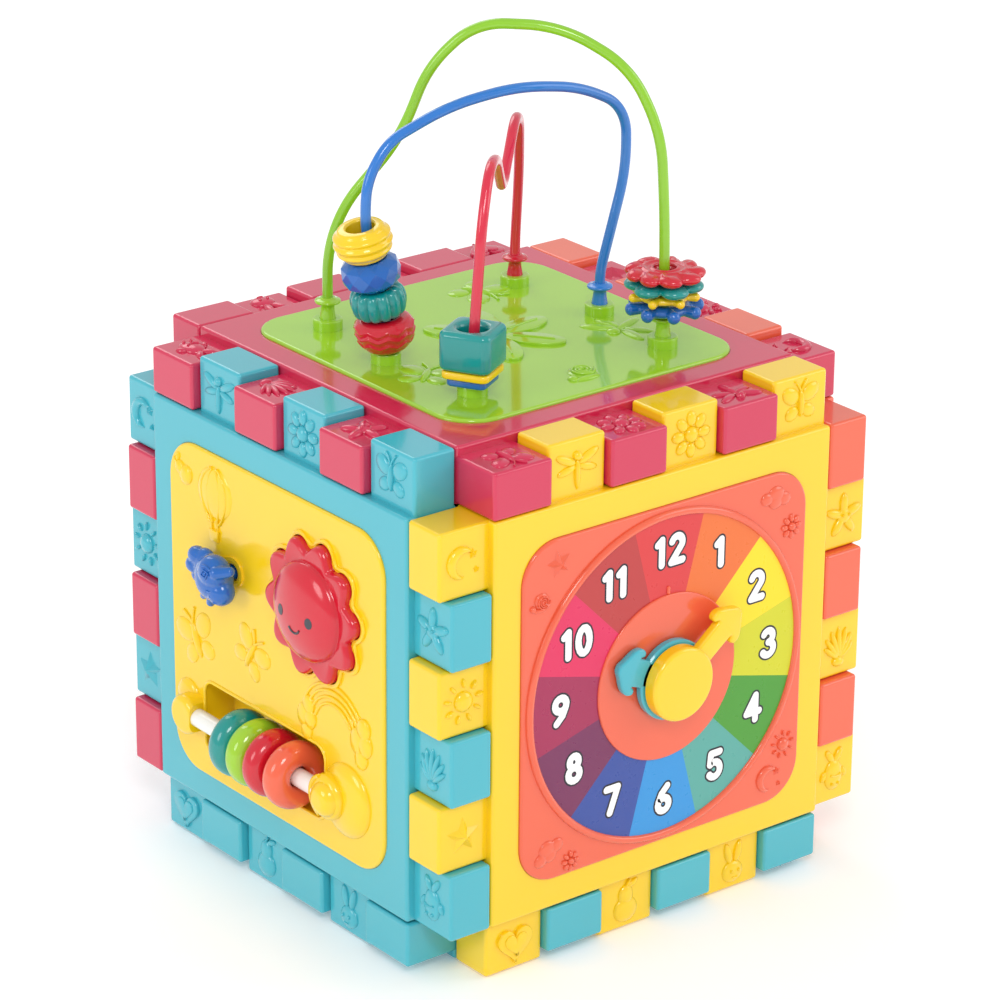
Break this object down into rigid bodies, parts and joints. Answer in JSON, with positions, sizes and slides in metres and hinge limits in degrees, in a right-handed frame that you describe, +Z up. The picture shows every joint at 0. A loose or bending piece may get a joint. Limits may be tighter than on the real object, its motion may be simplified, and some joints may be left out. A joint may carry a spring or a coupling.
{
  "type": "baby activity cube",
  "caption": "Activity cube of six snap-together play panels: a clock, sliding rings, gears and a mirror on its sides, and bead wires on top.",
  "frame": {"origin": "centre of the base panel's face, on the surface the cube stands on", "axes": "+Z up, -Y out of the clock panel, -X out of the panel with the sun button and the rings"},
  "size_m": [0.2405, 0.2399, 0.3454],
  "materials": {
    "pink": "glossy moulded plastic",
    "teal": "glossy moulded plastic",
    "yellow": "glossy moulded plastic",
    "orange": "glossy moulded plastic",
    "green": "glossy moulded plastic",
    "red": "glossy moulded plastic",
    "blue": "glossy moulded plastic",
    "white": "glossy moulded plastic",
    "dial_print": "glossy printed card",
    "green_wire": "glossy coating on steel wire",
    "blue_wire": "glossy coating on steel wire",
    "red_wire": "glossy coating on steel wire",
    "steel": "zinc-plated screws",
    "soft_rubber": "soft matt bellows",
    "mirror": "silvered acrylic"
  },
  "bodies": {
    "base_panel": {"base_frame": "teal", "base_insert": "orange", "base_screws": "steel"},
    "top_panel": {"top_frame": "pink", "top_insert": "green", "top_screws": "steel", "green_wire": "green_wire", "green_wire_feet": "green", "blue_wire": "blue_wire", "blue_wire_feet": "blue", "red_wire": "red_wire", "red_wire_feet": "red"},
    "clock_panel": {"clock_frame": "yellow", "clock_insert": "orange", "clock_screws": "steel", "clock_dial_card": "dial_print"},
    "abacus_panel": {"abacus_frame": "teal", "abacus_insert": "yellow", "abacus_screws": "steel", "abacus_rod": "white", "squeaker_holder": "white", "squeaker_reed": "white", "squeaker_bellows": "soft_rubber"},
    "gear_panel": {"gear_frame": "pink", "gear_insert": "teal", "gear_screws": "steel", "gear_axle_pins": "white"},
    "mirror_panel": {"mirror_frame": "orange", "mirror_insert": "green", "mirror_screws": "steel", "mirror_disc": "mirror"},
    "hour_hand": {"hour_hand": "teal"},
    "minute_hand": {"minute_hand": "yellow", "clock_spindle": "white", "spindle_screw": "steel"},
    "teal_ring": {"teal_ring": "teal"},
    "green_ring": {"green_ring": "green"},
    "red_ring": {"red_ring": "red"},
    "orange_ring": {"orange_ring": "orange"},
    "bird": {"bird_slider": "blue", "slider_keeper": "white", "slider_screw": "steel"},
    "sun_button": {"sun_button": "red"},
    "large_gear": {"large_gear": "yellow"},
    "medium_gear": {"medium_gear": "green"},
    "small_gear": {"small_gear": "orange"},
    "mirror_bezel": {"mirror_bezel": "yellow"},
    "red_zigzag_bead": {"red_zigzag_bead": "red"},
    "teal_ribbed_bead": {"teal_ribbed_bead": "teal"},
    "blue_faceted_bead": {"blue_faceted_bead": "blue"},
    "yellow_stepped_bead": {"yellow_stepped_bead": "yellow"},
    "blue_square_disc": {"blue_square_disc": "blue"},
    "yellow_square_disc": {"yellow_square_disc": "yellow"},
    "teal_cube_bead": {"teal_cube_bead": "teal"},
    "blue_flower_disc": {"blue_flower_disc": "blue"},
    "yellow_flower_disc": {"yellow_flower_disc": "yellow"},
    "teal_flower_disc": {"teal_flower_disc": "teal"},
    "red_rosette": {"red_rosette": "red"}
  },
  "joints": [
    {"name": "top_lift", "type": "slide", "parent": "base_panel", "child": "top_panel", "axis": [0, 0, 1], "range_m": [0, 0.06]},
    {"name": "clock_panel_pull", "type": "slide", "parent": "base_panel", "child": "clock_panel", "axis": [0, -1, 0], "range_m": [0, 0.04]},
    {"name": "abacus_panel_pull", "type": "slide", "parent": "base_panel", "child": "abacus_panel", "axis": [-1, 0, 0], "range_m": [0, 0.04]},
    {"name": "gear_panel_pull", "type": "slide", "parent": "base_panel", "child": "gear_panel", "axis": [0, 1, 0], "range_m": [0, 0.04]},
    {"name": "mirror_panel_pull", "type": "slide", "parent": "base_panel", "child": "mirror_panel", "axis": [1, 0, 0], "range_m": [0, 0.04]},
    {"name": "hour_hand_turn", "type": "hinge", "parent": "clock_panel", "child": "hour_hand", "pos_m": [0, -0.107, 0.107], "axis": [0, -1, 0], "continuous": true},
    {"name": "minute_hand_turn", "type": "hinge", "parent": "clock_panel", "child": "minute_hand", "pos_m": [0, -0.107, 0.107], "axis": [0, -1, 0], "continuous": true},
    {"name": "teal_ring_slide", "type": "slide", "parent": "abacus_panel", "child": "teal_ring", "axis": [0, -1, 0], "range_m": [-0.021, 0.0018]},
    {"name": "green_ring_slide", "type": "slide", "parent": "teal_ring", "child": "green_ring", "axis": [0, -1, 0], "range_m": [0, 0.0018]},
    {"name": "red_ring_slide", "type": "slide", "parent": "green_ring", "child": "red_ring", "axis": [0, -1, 0], "range_m": [0, 0.0018]},
    {"name": "orange_ring_slide", "type": "slide", "parent": "red_ring", "child": "orange_ring", "axis": [0, -1, 0], "range_m": [-0.002, 0.003]},
    {"name": "bird_slide", "type": "slide", "parent": "abacus_panel", "child": "bird", "axis": [0, 0.9507, -0.3102], "range_m": [-0.003, 0.0135]},
    {"name": "sun_press", "type": "slide", "parent": "abacus_panel", "child": "sun_button", "axis": [1, 0, 0], "range_m": [0, 0.004], "stiffness_N_per_m": 300, "springref_m": -0.003, "deforming": ["squeaker_bellows"]},
    {"name": "large_gear_turn", "type": "hinge", "parent": "gear_panel", "child": "large_gear", "pos_m": [0.028, 0.107, 0.127], "axis": [0, 1, 0], "continuous": true},
    {"name": "medium_gear_turn", "type": "hinge", "parent": "gear_panel", "child": "medium_gear", "pos_m": [-0.02678, 0.107, 0.11536], "axis": [0, 1, 0], "continuous": true},
    {"name": "small_gear_turn", "type": "hinge", "parent": "gear_panel", "child": "small_gear", "pos_m": [-0.0088, 0.107, 0.07085], "axis": [0, 1, 0], "continuous": true},
    {"name": "mirror_bezel_turn", "type": "hinge", "parent": "mirror_panel", "child": "mirror_bezel", "pos_m": [0.107, 0, 0.107], "axis": [1, 0, 0], "continuous": true},
    {"name": "red_zigzag_bead_slide", "type": "slide", "parent": "top_panel", "child": "red_zigzag_bead", "axis": [0, 0, 1], "range_m": [0, 0.0015]},
    {"name": "teal_ribbed_bead_slide", "type": "slide", "parent": "red_zigzag_bead", "child": "teal_ribbed_bead", "axis": [-0.2356, 0.0162, 0.9717], "range_m": [0, 0.0015]},
    {"name": "blue_faceted_bead_slide", "type": "slide", "parent": "teal_ribbed_bead", "child": "blue_faceted_bead", "axis": [-0.2356, 0.0162, 0.9717], "range_m": [0, 0.0015]},
    {"name": "yellow_stepped_bead_slide", "type": "slide", "parent": "blue_faceted_bead", "child": "yellow_stepped_bead", "axis": [-0.2356, 0.0162, 0.9717], "range_m": [0, 0.0015]},
    {"name": "blue_square_disc_slide", "type": "slide", "parent": "top_panel", "child": "blue_square_disc", "axis": [0, 0, 1], "range_m": [0, 0.006]},
    {"name": "yellow_square_disc_slide", "type": "slide", "parent": "blue_square_disc", "child": "yellow_square_disc", "axis": [0, 0, 1], "range_m": [0, 0.006]},
    {"name": "teal_cube_bead_slide", "type": "slide", "parent": "yellow_square_disc", "child": "teal_cube_bead", "axis": [0, 0, 1], "range_m": [0, 0.008]},
    {"name": "blue_flower_disc_slide", "type": "slide", "parent": "top_panel", "child": "blue_flower_disc", "axis": [0, 0, 1], "range_m": [0, 0.006]},
    {"name": "yellow_flower_disc_slide", "type": "slide", "parent": "blue_flower_disc", "child": "yellow_flower_disc", "axis": [0, 0, 1], "range_m": [0, 0.006]},
    {"name": "teal_flower_disc_slide", "type": "slide", "parent": "yellow_flower_disc", "child": "teal_flower_disc", "axis": [0, 0, 1], "range_m": [0, 0.006]},
    {"name": "red_rosette_slide", "type": "slide", "parent": "teal_flower_disc", "child": "red_rosette", "axis": [0, 0, 1], "range_m": [0, 0.006]}
  ],
  "couplings": [
    {"joint": "medium_gear_turn", "follows": "large_gear_turn", "ratio": -1.3333},
    {"joint": "small_gear_turn", "follows": "large_gear_turn", "ratio": 1.3333}
  ]
}
